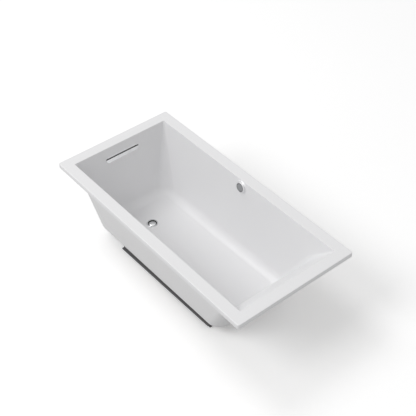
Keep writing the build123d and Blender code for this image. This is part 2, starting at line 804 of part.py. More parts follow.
with BuildPart() as plug_seal:
    with BuildSketch(Plane.XZ):
        with BuildLine():
            Polyline(
                (drain_x + collar_bore_r, seal_z),
                (drain_x + funnel_radius(seal_z) - seal_gap, seal_z),
                (drain_x + funnel_radius(seal_z + seal_t) - seal_gap, seal_z + seal_t),
                (drain_x + collar_bore_r, seal_z + seal_t),
                close=True,
            )
        make_face()
    revolve(axis=drain_spin)
plug_seal.part.label = "plug_seal"
export_step(plug_seal.part, "parts/plug_seal.step")

with BuildPart() as plug_stem:
    with BuildSketch(drain_axis.offset(stem_foot)):
        Circle(stem_r)
    extrude(amount=seal_z - stem_foot)
    with BuildSketch(drain_axis.offset(seal_z - collar_h)):
        Circle(collar_r)
    extrude(amount=collar_h)
    with BuildSketch(drain_axis.offset(seal_z)):
        Circle(collar_bore_r)
    extrude(amount=seal_t)
plug_stem.part.label = "plug_stem"
export_step(plug_stem.part, "parts/plug_stem.step")

# Lift lever: arm and roller under the stem, shaft through the shoe, crank for the cable
with BuildPart() as lift_lever:
    with BuildSketch(Plane.XZ.offset(-lever_w / 2)):
        with Locations((lever_x, lever_z)):
            Circle(1.5 * shaft_r)
        with Locations((drain_x, lever_z)):
            Circle(roller_r)
        with Locations(((lever_x + drain_x) / 2, lever_z)):
            Rectangle(lever_length, lever_t)
    extrude(amount=lever_w)
    with BuildSketch(Plane.XZ.offset(-shaft_out)):
        with Locations((lever_x, lever_z)):
            Circle(shaft_r)
    extrude(amount=shaft_out)
    with BuildSketch(Plane.XZ.offset(-shaft_out)):
        with Locations((lever_x, lever_z + crank_length / 2)):
            SlotCenterToCenter(crank_length, 3 * shaft_r, rotation=90)
        with Locations((lever_x, lever_z + crank_length)):
            Circle(cable_r, mode=Mode.SUBTRACT)
    extrude(amount=crank_t)
lift_lever.part.label = "lift_lever"
export_step(lift_lever.part, "parts/lift_lever.step")
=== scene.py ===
from math import cos, pi, radians, sin

import bmesh
import bpy
from mathutils import Matrix, Vector


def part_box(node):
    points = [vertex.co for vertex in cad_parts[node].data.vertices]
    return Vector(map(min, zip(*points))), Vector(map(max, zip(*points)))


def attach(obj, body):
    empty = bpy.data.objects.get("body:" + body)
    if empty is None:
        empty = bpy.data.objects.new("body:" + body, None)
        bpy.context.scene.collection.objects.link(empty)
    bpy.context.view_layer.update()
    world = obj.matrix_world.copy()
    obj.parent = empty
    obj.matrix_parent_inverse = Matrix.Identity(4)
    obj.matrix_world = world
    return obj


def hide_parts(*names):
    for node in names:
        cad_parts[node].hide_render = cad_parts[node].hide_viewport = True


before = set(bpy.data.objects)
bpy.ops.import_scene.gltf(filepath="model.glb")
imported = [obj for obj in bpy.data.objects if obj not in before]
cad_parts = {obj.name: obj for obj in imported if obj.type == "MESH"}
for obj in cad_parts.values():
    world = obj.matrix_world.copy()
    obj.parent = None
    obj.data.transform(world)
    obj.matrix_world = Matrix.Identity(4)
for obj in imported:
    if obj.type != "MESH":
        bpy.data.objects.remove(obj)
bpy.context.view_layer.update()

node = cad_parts
scene = bpy.context.scene


# Set: the camera at the photograph's angle, a plain pale floor and soft studio light.
# The main light stands to the left of the camera, so the shadow falls past the backrest.
def aim(obj, eye, target, roll=0.0):
    turn = (Vector(target) - Vector(eye)).to_track_quat("-Z", "Y").to_matrix().to_4x4()
    obj.matrix_world = Matrix.Translation(eye) @ turn @ Matrix.Rotation(radians(roll), 4, "Z")


camera = bpy.data.objects.new("camera", bpy.data.cameras.new("camera"))
scene.collection.objects.link(camera)
camera.data.lens = 82.5
camera.data.sensor_width = 36.0
camera.data.clip_end = 100.0
aim(camera, (3.2213, -2.4350, 4.1789), (-0.1454, 0.1892, 0.3), roll=-1.567)
scene.camera = camera

floor_mesh = bpy.data.meshes.new("studio_floor")
floor_mesh.from_pydata([(-30, -30, 0), (30, -30, 0), (30, 30, 0), (-30, 30, 0)], [], [(0, 1, 2, 3)])
studio_floor = bpy.data.objects.new("studio_floor", floor_mesh)
scene.collection.objects.link(studio_floor)
floor_paint = bpy.data.materials.new("studio_floor")
floor_paint.use_nodes = True
floor_shader = floor_paint.node_tree.nodes["Principled BSDF"]
seen = floor_paint.node_tree.nodes.new("ShaderNodeLightPath").outputs["Is Camera Ray"]
floor_tone = floor_paint.node_tree.nodes.new("ShaderNodeMix")
floor_tone.data_type = "RGBA"
floor_tone.inputs[6].default_value = (0.66, 0.66, 0.66, 1)
floor_tone.inputs[7].default_value = (0.93, 0.93, 0.93, 1)
floor_glow = floor_paint.node_tree.nodes.new("ShaderNodeMath")
floor_glow.operation = "MULTIPLY"
floor_glow.inputs[1].default_value = 0.17
floor_paint.node_tree.links.new(seen, floor_tone.inputs[0])
floor_paint.node_tree.links.new(seen, floor_glow.inputs[0])
floor_paint.node_tree.links.new(floor_tone.outputs[2], floor_shader.inputs["Base Color"])
floor_paint.node_tree.links.new(floor_glow.outputs[0], floor_shader.inputs["Emission Strength"])
floor_shader.inputs["Roughness"].default_value = 0.95
floor_shader.inputs["Specular IOR Level"].default_value = 0.1
floor_shader.inputs["Emission Color"].default_value = (1, 1, 1, 1)
floor_mesh.materials.append(floor_paint)


def area_light(name, eye, target, size, power, colour=(1, 1, 1)):
    lamp = bpy.data.lights.new(name, "AREA")
    lamp.shape = "DISK"
    lamp.size = size
    lamp.energy = power
    lamp.color = colour
    obj = bpy.data.objects.new(name, lamp)
    scene.collection.objects.link(obj)
    aim(obj, eye, target)


area_light("key_light", (-1.95, -9.16, 10.70), (0, 0, 0.3), 6.5, 650)
area_light("high_light", (-6.76, -1.81, 12.42), (0, 0, 0.3), 5.0, 330)
studio = bpy.data.worlds.new("studio")
studio.use_nodes = True
studio.node_tree.nodes["Background"].inputs["Color"].default_value = (1.0, 1.0, 1.0, 1)
rays = studio.node_tree.nodes.new("ShaderNodeLightPath")
walls = studio.node_tree.nodes.new("ShaderNodeMath")
walls.operation = "MULTIPLY_ADD"
walls.inputs[1].default_value = 0.40
walls.inputs[2].default_value = 0.57
bright_to = studio.node_tree.nodes.new("ShaderNodeMath")
bright_to.operation = "MAXIMUM"
studio.node_tree.links.new(rays.outputs["Is Glossy Ray"], bright_to.inputs[0])
studio.node_tree.links.new(rays.outputs["Is Camera Ray"], bright_to.inputs[1])
studio.node_tree.links.new(bright_to.outputs[0], walls.inputs[0])
studio.node_tree.links.new(walls.outputs[0], studio.node_tree.nodes["Background"].inputs["Strength"])
scene.world = studio
scene.view_settings.view_transform = "Standard"


# Bath shell: one vacuum-formed sheet of white sanitary acrylic with a turned-down lip.
# The face is polished; the hidden back of the same sheet is stiffened with rolled resin
# and glass mat, so it is duller, a little greyer and shows the strands.
def add_group(name, inputs, outputs):
    tree = bpy.data.node_groups.new(name, "ShaderNodeTree")
    for label, kind, value in inputs:
        socket = tree.interface.new_socket(label, in_out="INPUT", socket_type="NodeSocket" + kind)
        if value is not None:
            socket.default_value = value
    for label, kind in outputs:
        tree.interface.new_socket(label, in_out="OUTPUT", socket_type="NodeSocket" + kind)
    return tree, tree.nodes.new("NodeGroupInput"), tree.nodes.new("NodeGroupOutput")


def wire(tree, kind, settings=None, **links):
    made = tree.nodes.new("ShaderNode" + kind)
    for key, value in (settings or {}).items():
        setattr(made, key, value)
    for key, value in links.items():
        slot = made.inputs[int(key[1:])] if key[0] == "i" and key[1:].isdigit() else made.inputs[key.replace("_", " ")]
        if isinstance(value, bpy.types.NodeSocket):
            tree.links.new(value, slot)
        else:
            slot.default_value = value
    return made


def sum_of(tree, kind, a, b, c=None, clamp=False):
    made = wire(tree, "Math", {"operation": kind, "use_clamp": clamp}, i0=a, i1=b)
    if c is not None:
        made.inputs[2].default_value = c
    return made.outputs[0]


# Mottle: a soft two-scale noise, for colour drift, gloss drift and a trace of relief
mottle, m_in, m_out = add_group(
    "mottle",
    [("Place", "Vector", None), ("Broad", "Float", 3.0), ("Fine", "Float", 60.0), ("Contrast", "Float", 1.0)],
    [("Mask", "Float"), ("Relief", "Float")],
)
broad = wire(mottle, "TexNoise", Vector=m_in.outputs["Place"], Scale=m_in.outputs["Broad"], Detail=3.0)
fine = wire(mottle, "TexNoise", Vector=m_in.outputs["Place"], Scale=m_in.outputs["Fine"], Detail=2.0)
blend = wire(mottle, "Mix", {"data_type": "FLOAT"}, i0=0.35, i2=broad.outputs[0], i3=fine.outputs[0])
centred = sum_of(mottle, "MULTIPLY", sum_of(mottle, "SUBTRACT", blend.outputs[0], 0.5), m_in.outputs["Contrast"])
mottle.links.new(sum_of(mottle, "ADD", centred, 0.5, clamp=True), m_out.inputs["Mask"])
mottle.links.new(fine.outputs[0], m_out.inputs["Relief"])


def put_group(tree, group, place, **values):
    made = tree.nodes.new("ShaderNodeGroup")
    made.node_tree = group
    tree.links.new(place, made.inputs["Place"])
    for key, value in values.items():
        slot = made.inputs[key.replace("_", " ")]
        if isinstance(value, bpy.types.NodeSocket):
            tree.links.new(value, slot)
        else:
            slot.default_value = value
    return made


# A finish: two tones and two gloss levels mixed by the mottle, and a bump from its relief
class Finish:
    def __init__(self, name, light, dark, gloss, metal=0.0, broad=3.0, fine=60.0, contrast=1.6, bump=0.05, lift=0.0002):
        self.paint = bpy.data.materials.new(name)
        self.paint.use_nodes = True
        self.tree = self.paint.node_tree
        self.shader = self.tree.nodes["Principled BSDF"]
        self.shader.inputs["Metallic"].default_value = metal
        self.place = wire(self.tree, "TexCoord").outputs["Object"]
        spots = put_group(self.tree, mottle, self.place, Broad=broad, Fine=fine, Contrast=contrast)
        self.tone = wire(
            self.tree, "Mix", {"data_type": "RGBA"}, i0=spots.outputs["Mask"], i6=(*light, 1), i7=(*dark, 1)
        ).outputs[2]
        self.shine = wire(
            self.tree, "MapRange", Value=spots.outputs["Mask"], To_Min=gloss[0], To_Max=gloss[1]
        ).outputs[0]
        self.relief = wire(self.tree, "Bump", Height=spots.outputs["Relief"], Strength=bump, Distance=lift).outputs[0]
        self.settle()

    def settle(self):
        self.tree.links.new(self.tone, self.shader.inputs["Base Color"])
        self.tree.links.new(self.shine, self.shader.inputs["Roughness"])
        self.tree.links.new(self.relief, self.shader.inputs["Normal"])

    def tint(self, mask, colour, gloss=None):
        self.tone = wire(self.tree, "Mix", {"data_type": "RGBA"}, i0=mask, i6=self.tone, i7=(*colour, 1)).outputs[2]
        if gloss is not None:
            self.shine = wire(self.tree, "Mix", {"data_type": "FLOAT"}, i0=mask, i2=self.shine, i3=gloss).outputs[0]
        self.settle()

    def emboss(self, height, strength, lift):
        self.relief = wire(
            self.tree, "Bump", Height=height, Normal=self.relief, Strength=strength, Distance=lift
        ).outputs[0]
        self.settle()


def dress(finish, *names):
    for name in names:
        slots = node[name].data.materials
        if len(slots) == 0:
            slots.append(finish.paint)
        for index in range(len(slots)):
            slots[index] = finish.paint


# Shell back: which faces look away from the middle of the bath, below the lip
shell_back, b_in, b_out = add_group(
    "shell_back", [("Place", "Vector", None), ("Facing", "Vector", None), ("Lip", "Float", 0.5)], [("Mask", "Float")]
)
spot = wire(shell_back, "SeparateXYZ", i0=b_in.outputs["Place"])
face = wire(shell_back, "SeparateXYZ", i0=b_in.outputs["Facing"])
flat_spot = wire(shell_back, "CombineXYZ", i0=spot.outputs[0], i1=sum_of(shell_back, "MULTIPLY", spot.outputs[1], 2.2))
flat_face = wire(shell_back, "CombineXYZ", i0=face.outputs[0], i1=face.outputs[1])
way_out = wire(
    shell_back,
    "VectorMath",
    {"operation": "DOT_PRODUCT"},
    i0=wire(shell_back, "VectorMath", {"operation": "NORMALIZE"}, i0=flat_spot.outputs[0]).outputs[0],
    i1=flat_face.outputs[0],
)
outward = wire(shell_back, "MapRange", Value=way_out.outputs["Value"], From_Min=0.02, From_Max=0.12)
downward = wire(shell_back, "MapRange", Value=face.outputs[2], From_Min=-0.35, From_Max=-0.5)
either = sum_of(shell_back, "MAXIMUM", outward.outputs[0], downward.outputs[0])
below = sum_of(shell_back, "LESS_THAN", spot.outputs[2], b_in.outputs["Lip"])
shell_back.links.new(sum_of(shell_back, "MULTIPLY", either, below), b_out.inputs["Mask"])

enamel = Finish(
    "bath_enamel", (0.812, 0.811, 0.819), (0.799, 0.798, 0.806), (0.34, 0.40), broad=2.0, fine=260.0, bump=0.04, lift=0.0002
)
coords = wire(enamel.tree, "TexCoord")
back = put_group(enamel.tree, shell_back, coords.outputs["Object"], Facing=coords.outputs["Normal"], Lip=0.5045)
strands = wire(enamel.tree, "TexVoronoi", {"feature": "DISTANCE_TO_EDGE"}, Vector=enamel.place, Scale=55.0)
strand_lines = wire(enamel.tree, "MapRange", Value=strands.outputs["Distance"], From_Max=0.06, To_Min=1.0, To_Max=0.0)
mat = sum_of(enamel.tree, "MULTIPLY", strand_lines.outputs[0], back.outputs["Mask"])
enamel.tint(back.outputs["Mask"], (0.777, 0.776, 0.783), 0.55)
enamel.tint(sum_of(enamel.tree, "MULTIPLY", mat, 0.25), (0.70, 0.70, 0.68))
enamel.emboss(mat, 0.25, 0.0002)
dress(enamel, "bath_shell")


# Rim stiffeners: four strips of sawn chipboard bonded under the deck. Chips of pale and
# brown wood in resin, sanded faces and crumbled arrises, set in a rolled bead of resin.
chips, c_in, c_out = add_group(
    "wood_chips", [("Place", "Vector", None), ("Size", "Float", 220.0)], [("Mask", "Float"), ("Relief", "Float")]
)
flake = wire(chips, "TexVoronoi", Vector=c_in.outputs["Place"], Scale=c_in.outputs["Size"], Randomness=1.0)
flake_tone = wire(chips, "SeparateColor", i0=flake.outputs["Color"])
dust = wire(chips, "TexNoise", Vector=c_in.outputs["Place"], Scale=900.0, Detail=2.0)
chips.links.new(
    wire(chips, "Mix", {"data_type": "FLOAT"}, i0=0.3, i2=flake_tone.outputs[0], i3=dust.outputs[0]).outputs[0],
    c_out.inputs["Mask"],
)
chips.links.new(flake.outputs["Distance"], c_out.inputs["Relief"])

# Worn edge: how near a point of a square-cut bar is to an arris, broken up by noise
worn_edge, w_in, w_out = add_group(
    "worn_edge",
    [("Place", "Vector", None), ("Low", "Vector", None), ("High", "Vector", None), ("Width", "Float", 0.003)],
    [("Mask", "Float")],
)
from_low = wire(worn_edge, "VectorMath", {"operation": "SUBTRACT"}, i0=w_in.outputs["Place"], i1=w_in.outputs["Low"])
from_high = wire(worn_edge, "VectorMath", {"operation": "SUBTRACT"}, i0=w_in.outputs["High"], i1=w_in.outputs["Place"])
nearest = wire(worn_edge, "VectorMath", {"operation": "MINIMUM"}, i0=from_low.outputs[0], i1=from_high.outputs[0])
gap = wire(worn_edge, "SeparateXYZ", i0=nearest.outputs[0])
less = sum_of(worn_edge, "MINIMUM", gap.outputs[0], gap.outputs[1])
more = sum_of(worn_edge, "MAXIMUM", gap.outputs[0], gap.outputs[1])
to_edge = sum_of(worn_edge, "MAXIMUM", less, sum_of(worn_edge, "MINIMUM", more, gap.outputs[2]))
bite = wire(worn_edge, "TexNoise", Vector=w_in.outputs["Place"], Scale=90.0, Detail=3.0)
reach = sum_of(worn_edge, "MULTIPLY", w_in.outputs["Width"], sum_of(worn_edge, "MULTIPLY", bite.outputs[0], 2.0))
rub = wire(worn_edge, "MapRange", Value=sum_of(worn_edge, "DIVIDE", to_edge, reach), From_Max=1.0, To_Min=1.0, To_Max=0.0)
worn_edge.links.new(rub.outputs[0], w_out.inputs["Mask"])


def board_finish(name, light, dark, size, edge, low, high):
    made = Finish(name, light, dark, (0.62, 0.78), broad=6.0, fine=420.0, bump=0.15, lift=0.0003)
    grain = put_group(made.tree, chips, made.place, Size=size)
    made.tint(sum_of(made.tree, "MULTIPLY", grain.outputs["Mask"], 0.55), dark)
    made.emboss(grain.outputs["Relief"], 0.3, 0.0006)
    rubbed = put_group(made.tree, worn_edge, made.place, Low=low, High=high, Width=0.003)
    made.tint(sum_of(made.tree, "MULTIPLY", rubbed.outputs["Mask"], 0.7), edge, 0.85)
    return made


strips = ("rim_stiffener_far", "rim_stiffener_near", "rim_stiffener_drain", "rim_stiffener_back")
for strip in strips:
    low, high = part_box(strip)
    dress(
        board_finish(strip, (0.60, 0.48, 0.33), (0.36, 0.25, 0.15), 240.0, (0.66, 0.56, 0.42), tuple(low), tuple(high)),
        strip,
    )


# Growing a repeat: a tree with named inputs is run once and left as one plain mesh
def new_growth(name, inputs):
    tree = bpy.data.node_groups.new(name, "GeometryNodeTree")
    for label, kind, value in inputs:
        socket = tree.interface.new_socket(label, in_out="INPUT", socket_type="NodeSocket" + kind)
        if value is not None:
            socket.default_value = value
    tree.interface.new_socket("Geometry", in_out="OUTPUT", socket_type="NodeSocketGeometry")
    return tree, tree.nodes.new("NodeGroupInput"), tree.nodes.new("NodeGroupOutput")


def step(tree, kind, settings=None, **links):
    made = tree.nodes.new(kind)
    for key, value in (settings or {}).items():
        setattr(made, key, value)
    for key, value in links.items():
        slot = made.inputs[int(key[1:])] if key[0] == "i" and key[1:].isdigit() else made.inputs[key.replace("_", " ")]
        for source in value if isinstance(value, list) else [value]:
            if isinstance(source, bpy.types.NodeSocket):
                tree.links.new(source, slot)
            else:
                slot.default_value = source
    return made


def close_growth(tree, shape, start, end):
    smooth = step(tree, "GeometryNodeSetShadeSmooth", Geometry=shape)
    real = step(tree, "GeometryNodeRealizeInstances", Geometry=smooth.outputs[0])
    clad = step(tree, "GeometryNodeSetMaterial", Geometry=real.outputs[0], Material=start.outputs["Finish"])
    tree.links.new(clad.outputs[0], end.inputs[0])


def grow(tree, name, slot, finish, body="tub", **values):
    seed = bpy.data.objects.new(name + "_seed", bpy.data.meshes.new(name + "_seed"))
    scene.collection.objects.link(seed)
    growth = seed.modifiers.new("growth", "NODES")
    growth.node_group = tree
    sockets = {item.name: item.identifier for item in tree.interface.items_tree if item.in_out == "INPUT"}
    growth[sockets["Finish"]] = finish.paint
    for key, value in values.items():
        growth[sockets[key.replace("_", " ")]] = value
    bpy.context.view_layer.update()
    shape = bpy.data.meshes.new_from_object(seed.evaluated_get(bpy.context.evaluated_depsgraph_get()))
    seed.modifiers.remove(growth)
    bpy.data.objects.remove(seed)
    piece = bpy.data.objects.new(name, shape)
    scene.collection.objects.link(piece)
    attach(piece, body)
    return piece


resin_bead, r_in, r_end = new_growth(
    "resin_bead",
    [
        ("Start", "Vector", None),
        ("End", "Vector", None),
        ("Radius", "Float", 0.005),
        ("Wander", "Float", 0.002),
        ("Finish", "Material", None),
    ],
)
run = step(resin_bead, "GeometryNodeCurvePrimitiveLine", Start=r_in.outputs["Start"], End=r_in.outputs["End"])
dots = step(resin_bead, "GeometryNodeResampleCurve", Curve=run.outputs[0], Count=90)
sway = step(resin_bead, "ShaderNodeTexNoise", Scale=14.0, Detail=2.0)
swing = step(resin_bead, "ShaderNodeVectorMath", {"operation": "SUBTRACT"}, i0=sway.outputs["Color"], i1=(0.5, 0.5, 0.5))
drift = step(resin_bead, "ShaderNodeVectorMath", {"operation": "SCALE"}, i0=swing.outputs[0], Scale=r_in.outputs["Wander"])
bent = step(resin_bead, "GeometryNodeSetPosition", Geometry=dots.outputs[0], Offset=drift.outputs[0])
section = step(resin_bead, "GeometryNodeCurvePrimitiveCircle", Resolution=10, Radius=r_in.outputs["Radius"])
bead = step(
    resin_bead, "GeometryNodeCurveToMesh", Curve=bent.outputs[0], Profile_Curve=section.outputs[0], Fill_Caps=True
)
close_growth(resin_bead, bead.outputs[0], r_in, r_end)

resin = Finish("bonding_resin", (0.70, 0.66, 0.55), (0.58, 0.54, 0.44), (0.28, 0.4), broad=20.0, fine=300.0, bump=0.2)
for strip in strips:
    low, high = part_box(strip)
    top = high[2] - 0.001
    if high[0] - low[0] > high[1] - low[1]:
        edges = [((low[0], y, top), (high[0], y, top)) for y in (low[1] - 0.001, high[1] + 0.001)]
    else:
        edges = [((x, low[1], top), (x, high[1], top)) for x in (low[0] - 0.001, high[0] + 0.001)]
    for side, (start, end) in enumerate(edges):
        grow(resin_bead, strip + "_bead_%d" % side, "bed", resin, Start=start, End=end, Radius=0.0032, Wander=0.0016)


# Base board and bed: a level sheet of chipboard bedded under the floor of the shell in cast
# filler, which takes up the floor's fall to the drain.
bed_cast = Finish("bed_cast", (0.62, 0.60, 0.55), (0.50, 0.48, 0.44), (0.75, 0.9), broad=8.0, fine=220.0, bump=0.4)
dress(bed_cast, "floor_bed")
low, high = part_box("base_board")
board_wood = board_finish(
    "board_wood",
    (0.52, 0.41, 0.28),
    (0.30, 0.21, 0.13),
    200.0,
    (0.62, 0.52, 0.38),
    tuple(low),
    tuple(high),
)
dress(board_wood, "base_board")


# Base rails and cross rails: planed softwood bars stained nearly black, all standing on the
# ground. Each long rail is worked with a thin foot along its outer side, which runs parallel
# to the falling floor and shows past the shell; the ends are sawn square.
long_grain, l_in, l_out = add_group(
    "long_grain",
    [("Place", "Vector", None), ("Along", "Vector", (0.05, 1.0, 1.0)), ("Rings", "Float", 160.0)],
    [("Mask", "Float"), ("Relief", "Float")],
)
drawn = wire(long_grain, "VectorMath", {"operation": "MULTIPLY"}, i0=l_in.outputs["Place"], i1=l_in.outputs["Along"])
bands = wire(
    long_grain, "TexWave", {"bands_direction": "Y"}, Vector=drawn.outputs[0], Scale=l_in.outputs["Rings"], Distortion=6.0,
    Detail=3.0,
)
pores = wire(long_grain, "TexNoise", Vector=drawn.outputs[0], Scale=900.0, Detail=2.0)
long_grain.links.new(bands.outputs["Fac"], l_out.inputs["Mask"])
long_grain.links.new(pores.outputs[0], l_out.inputs["Relief"])


def bar_finish(name, along, low, high):
    made = Finish(name, (0.125, 0.125, 0.130), (0.095, 0.095, 0.100), (0.5, 0.7), broad=14.0, fine=200.0, bump=0.2)
    grain = put_group(made.tree, long_grain, made.place, Along=along)
    made.tint(sum_of(made.tree, "MULTIPLY", grain.outputs["Mask"], 0.5), (0.155, 0.150, 0.146))
    made.emboss(grain.outputs["Relief"], 0.3, 0.0003)
    rubbed = put_group(made.tree, worn_edge, made.place, Low=low, High=high, Width=0.0025)
    made.tint(sum_of(made.tree, "MULTIPLY", rubbed.outputs["Mask"], 0.35), (0.24, 0.23, 0.22), 0.8)
    return made


rail_drain_end, rail_back_end = -0.4565, 0.3941
foot_low_drain, foot_low_back = 0.0013, 0.0221
foot_t, foot_out = 0.007, 0.2553
web_in, web_out, web_top = 0.216, 0.240, 0.030


def rail_mesh(name, side):
    shape = bmesh.new()
    ends = []
    for x, foot in ((rail_drain_end, foot_low_drain), (rail_back_end, foot_low_back)):
        outline = [
            (web_in, 0.0),
            (web_out, 0.0),
            (web_out, foot),
            (foot_out, foot),
            (foot_out, foot + foot_t),
            (web_out, foot + foot_t),
            (web_out, web_top),
            (web_in, web_top),
        ]
        ends.append([shape.verts.new((x, side * y, z)) for y, z in outline])
    shape.faces.new(ends[0])
    shape.faces.new(ends[1])
    for one in range(8):
        two = (one + 1) % 8
        shape.faces.new((ends[0][one], ends[0][two], ends[1][two], ends[1][one]))
    bmesh.ops.bevel(shape, geom=shape.edges[:], offset=0.0005, segments=2, affect="EDGES", clamp_overlap=True)
    bmesh.ops.triangulate(shape, faces=shape.faces[:])
    bmesh.ops.recalc_face_normals(shape, faces=shape.faces[:])
    mesh = bpy.data.meshes.new(name)
    shape.to_mesh(mesh)
    shape.free()
    return mesh


for name, side in (("near", -1), ("far", 1)):
    rail = bpy.data.objects.new("worked_rail_" + name, rail_mesh("worked_rail_" + name, side))
    scene.collection.objects.link(rail)
    inner, outer = sorted((side * web_in, side * foot_out))
    stained = bar_finish(
        "rail_" + name, (0.05, 1.0, 1.0), (rail_drain_end, inner, 0.0), (rail_back_end, outer, web_top)
    )
    rail.data.materials.append(stained.paint)
    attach(rail, "tub")
    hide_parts("base_rail_" + name)
    dress(stained, "base_rail_" + name)
low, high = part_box("cross_rails")
bearer = bar_finish("cross_rail", (1.0, 0.05, 1.0), tuple(low), tuple(high))
dress(bearer, "cross_rails")


# Rail screws: zinc-plated pan heads, sunk in the rails from below, with a cross recess.
# The recess's shade is painted: a near-black cross a hair proud of the head, one at each screw.
screw_steel = Finish(
    "screw_steel", (0.60, 0.61, 0.62), (0.45, 0.46, 0.48), (0.3, 0.45), metal=1.0, broad=60.0, fine=600.0
)
dress(screw_steel, "rail_screws")
screw_drives, s_in, s_end = new_growth(
    "screw_drives",
    [
        ("Start", "Vector", None),
        ("Pitch", "Vector", None),
        ("Count", "Int", 3),
        ("Arm", "Float", 0.0048),
        ("Slot", "Float", 0.0010),
        ("Finish", "Material", None),
    ],
)
row = step(
    screw_drives,
    "GeometryNodeMeshLine",
    {"mode": "OFFSET"},
    Count=s_in.outputs["Count"],
    Start_Location=s_in.outputs["Start"],
    Offset=s_in.outputs["Pitch"],
)
arm_a = step(screw_drives, "ShaderNodeCombineXYZ", i0=s_in.outputs["Arm"], i1=s_in.outputs["Slot"], i2=0.0002)
arm_b = step(screw_drives, "ShaderNodeCombineXYZ", i0=s_in.outputs["Slot"], i1=s_in.outputs["Arm"], i2=0.0002)
bar_a = step(screw_drives, "GeometryNodeMeshCube", Size=arm_a.outputs[0])
bar_b = step(screw_drives, "GeometryNodeMeshCube", Size=arm_b.outputs[0])
cross = step(screw_drives, "GeometryNodeJoinGeometry", Geometry=[bar_a.outputs[0], bar_b.outputs[0]])
placed = step(screw_drives, "GeometryNodeInstanceOnPoints", Points=row.outputs[0], Instance=cross.outputs[0])
close_growth(screw_drives, placed.outputs[0], s_in, s_end)

# Painted shade: each cross recess is coloured near black for the shade inside it
recess_shade_paint = Finish("recess_shade_paint", (0.03, 0.03, 0.032), (0.05, 0.05, 0.052), (0.5, 0.7), fine=800.0)
low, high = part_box("rail_screws")
screw_y = 0.2266667
head_reach = high[1] - screw_y
for side in (-1, 1):
    grow(
        screw_drives, "screw_drives_%s" % ("near" if side < 0 else "far"), "steel", recess_shade_paint,
        Start=(low[0] + head_reach, side * screw_y, low[2]), Pitch=(0.240, 0.0, 0.0), Count=4,
    )


# Drain flange: a brass turning, chromed and polished, whose rim lies on the floor's pad.
# Its rim keeps the faint rings of the turning; the funnel inside is painted near black and dulled, as painted shade
# round the plug.
turned, t_in, t_out = add_group(
    "turned_lines",
    [("Place", "Vector", None), ("Centre", "Vector", None), ("Axis", "Vector", (0, 0, 1)), ("Pitch", "Float", 1500.0)],
    [("Mask", "Float"), ("Relief", "Float")],
)
arm = wire(turned, "VectorMath", {"operation": "SUBTRACT"}, i0=t_in.outputs["Place"], i1=t_in.outputs["Centre"])
round_it = wire(turned, "VectorMath", {"operation": "CROSS_PRODUCT"}, i0=arm.outputs[0], i1=t_in.outputs["Axis"])
radius = wire(turned, "VectorMath", {"operation": "LENGTH"}, i0=round_it.outputs[0])
lines = wire(
    turned, "Math", {"operation": "SINE"}, i0=sum_of(turned, "MULTIPLY", radius.outputs["Value"], t_in.outputs["Pitch"])
)
half = sum_of(turned, "MULTIPLY", sum_of(turned, "ADD", lines.outputs[0], 1.0), 0.5)
patches = wire(turned, "TexNoise", Vector=t_in.outputs["Place"], Scale=120.0, Detail=2.0)
turned.links.new(sum_of(turned, "MULTIPLY", half, patches.outputs[0]), t_out.inputs["Mask"])
turned.links.new(half, t_out.inputs["Relief"])


def metal_finish(name, light, dark, gloss, centre, axis=(0, 0, 1), pitch=6000.0, cut=0.05):
    made = Finish(name, light, dark, gloss, metal=1.0, broad=30.0, fine=500.0, bump=0.02)
    rings = put_group(made.tree, turned, made.place, Centre=centre, Axis=axis, Pitch=pitch)
    made.emboss(rings.outputs["Relief"], cut, 0.00005)
    made.tint(sum_of(made.tree, "MULTIPLY", rings.outputs["Mask"], 0.35), dark)
    return made


drain_centre = (-0.480, 0.0, 0.0)
chrome_light, chrome_dark = (0.80, 0.81, 0.82), (0.62, 0.63, 0.64)
flange_chrome = metal_finish("flange_chrome", chrome_light, chrome_dark, (0.20, 0.30), drain_centre)
flange_spot = wire(
    flange_chrome.tree, "VectorMath", {"operation": "SUBTRACT"}, i0=flange_chrome.place, i1=drain_centre
)
flange_flat = wire(flange_chrome.tree, "VectorMath", {"operation": "MULTIPLY"}, i0=flange_spot.outputs[0], i1=(1, 1, 0))
from_middle = wire(flange_chrome.tree, "VectorMath", {"operation": "LENGTH"}, i0=flange_flat.outputs[0])
# Painted shade: inside the funnel the chrome is coloured near black and dulled
funnel_shade_mask = sum_of(flange_chrome.tree, "LESS_THAN", from_middle.outputs["Value"], 0.0291)
flange_chrome.tint(funnel_shade_mask, (0.035, 0.035, 0.035), 0.55)
dress(flange_chrome, "drain_flange")

# Gaskets: moulded nitrile rubber, clamped between the shell and each fitting behind it.
# The skin is matt with fine moulding grain.
seal_rubber = Finish("seal_rubber", (0.03, 0.03, 0.03), (0.05, 0.05, 0.05), (0.6, 0.8), broad=60.0, fine=900.0, bump=0.2)
dress(seal_rubber, "drain_gasket", "overflow_gasket", "control_gasket", "plug_seal")


# Drain shoe, waste tee and their pipe: injection-moulded white fittings on extruded pipe.
# Each socket has a rolled bead at its mouth.
fitting_plastic = Finish(
    "fitting_plastic", (0.82, 0.82, 0.80), (0.74, 0.74, 0.72), (0.3, 0.42), broad=12.0, fine=300.0, bump=0.1
)
dress(fitting_plastic, "drain_shoe", "waste_tee", "riser_nuts", "control_body")
pipe_plastic = Finish(
    "pipe_plastic", (0.80, 0.80, 0.78), (0.76, 0.76, 0.74), (0.25, 0.35), broad=12.0, fine=300.0, bump=0.05
)
dress(pipe_plastic, "waste_pipe", "overflow_pipe")
socket_bead, k_in, k_end = new_growth(
    "socket_bead",
    [
        ("Radius", "Float", 0.019),
        ("Bead", "Float", 0.0015),
        ("Place", "Vector", None),
        ("Turn", "Rotation", None),
        ("Finish", "Material", None),
    ],
)
hoop = step(socket_bead, "GeometryNodeCurvePrimitiveCircle", Resolution=64, Radius=k_in.outputs["Radius"])
wirebead = step(socket_bead, "GeometryNodeCurvePrimitiveCircle", Resolution=10, Radius=k_in.outputs["Bead"])
roll = step(socket_bead, "GeometryNodeCurveToMesh", Curve=hoop.outputs[0], Profile_Curve=wirebead.outputs[0])
